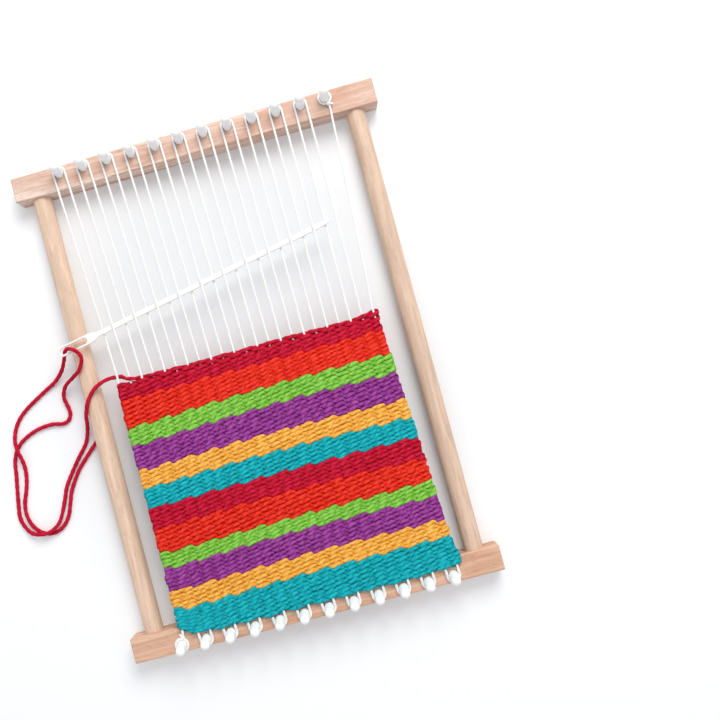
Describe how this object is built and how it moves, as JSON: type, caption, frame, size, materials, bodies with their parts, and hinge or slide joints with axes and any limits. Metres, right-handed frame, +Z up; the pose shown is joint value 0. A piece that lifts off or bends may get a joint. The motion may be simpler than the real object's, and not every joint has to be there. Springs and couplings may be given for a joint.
{
  "type": "peg loom",
  "caption": "Small wooden peg loom lying flat, with plastic pegs, a continuous cord warp, a part-woven striped cloth, and a flat needle with its yarn.",
  "frame": {"origin": "on the table, under the middle of the loom's frame; the loose yarn beside the frame isn't counted", "axes": "+X along the beams toward the free side of the cloth, away from the needle's eye; +Y along the dowels, from the beam where the weaving began to the other beam; +Z up, the way the pegs point"},
  "size_m": [0.3694, 0.4, 0.0357],
  "materials": {
    "beech": "sanded beech with a thin matt sealer",
    "dowel_wood": "sanded pale hardwood dowel",
    "peg_plastic": "white moulded plastic, satin",
    "needle_plastic": "ivory moulded plastic, satin",
    "warp": "white twisted cotton cord",
    "yarn_crimson": "soft crimson acrylic yarn",
    "yarn_orange": "soft orange acrylic yarn",
    "yarn_green": "soft green acrylic yarn",
    "yarn_purple": "soft purple acrylic yarn",
    "yarn_yellow": "soft yellow acrylic yarn",
    "yarn_teal": "soft teal acrylic yarn"
  },
  "bodies": {
    "loom": {"top_beam": "beech", "bottom_beam": "beech", "left_dowel": "dowel_wood", "right_dowel": "dowel_wood", "top_peg_01": "peg_plastic", "top_peg_02": "peg_plastic", "top_peg_03": "peg_plastic", "top_peg_04": "peg_plastic", "top_peg_05": "peg_plastic", "top_peg_06": "peg_plastic", "top_peg_07": "peg_plastic", "top_peg_08": "peg_plastic", "top_peg_09": "peg_plastic", "top_peg_10": "peg_plastic", "top_peg_11": "peg_plastic", "top_peg_12": "peg_plastic", "bottom_peg_01": "peg_plastic", "bottom_peg_02": "peg_plastic", "bottom_peg_03": "peg_plastic", "bottom_peg_04": "peg_plastic", "bottom_peg_05": "peg_plastic", "bottom_peg_06": "peg_plastic", "bottom_peg_07": "peg_plastic", "bottom_peg_08": "peg_plastic", "bottom_peg_09": "peg_plastic", "bottom_peg_10": "peg_plastic", "bottom_peg_11": "peg_plastic", "bottom_peg_12": "peg_plastic", "warp_cord": "warp", "weft_crimson_upper": "yarn_crimson", "weft_orange_upper": "yarn_orange", "weft_green_upper": "yarn_green", "weft_purple_upper": "yarn_purple", "weft_yellow_upper": "yarn_yellow", "weft_teal_upper": "yarn_teal", "weft_crimson_lower": "yarn_crimson", "weft_orange_lower": "yarn_orange", "weft_green_lower": "yarn_green", "weft_purple_lower": "yarn_purple", "weft_yellow_lower": "yarn_yellow", "weft_teal_lower": "yarn_teal", "needle_yarn": "yarn_crimson"},
    "needle": {"needle": "needle_plastic", "yarn_tail": "yarn_crimson"}
  },
  "joints": [
    {"name": "needle_slide", "type": "slide", "parent": "loom", "child": "needle", "axis": [-0.9822, -0.1879, 0], "range_m": [0, 0.22], "deforming": ["needle_yarn"]}
  ]
}
